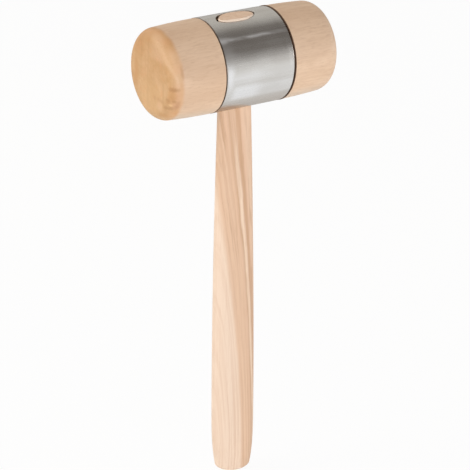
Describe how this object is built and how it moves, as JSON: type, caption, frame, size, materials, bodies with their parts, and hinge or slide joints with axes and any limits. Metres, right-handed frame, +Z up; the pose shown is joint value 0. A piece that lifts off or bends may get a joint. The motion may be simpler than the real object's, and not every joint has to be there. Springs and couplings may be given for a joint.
{
  "type": "wooden mallet",
  "caption": "Hand mallet with a round wooden barrel head banded by a flush steel sleeve, and an oval wooden handle wedged through the head.",
  "frame": {"origin": "lowest point of the handle's butt, on the handle's axis", "axes": "+Z up the handle to the head, +X along the head from one striking face to the other, +Y across the head"},
  "size_m": [0.1436, 0.0706, 0.3748],
  "materials": {
    "head_wood": "turned beech, bare and lightly sanded",
    "sleeve_steel": "satin steel tube",
    "handle_wood": "shaped ash, bare and lightly sanded",
    "wedge_wood": "plain hardwood, cut flush"
  },
  "bodies": {
    "root": {"head": "head_wood", "sleeve": "sleeve_steel", "handle": "handle_wood", "wedge": "wedge_wood"}
  },
  "joints": []
}
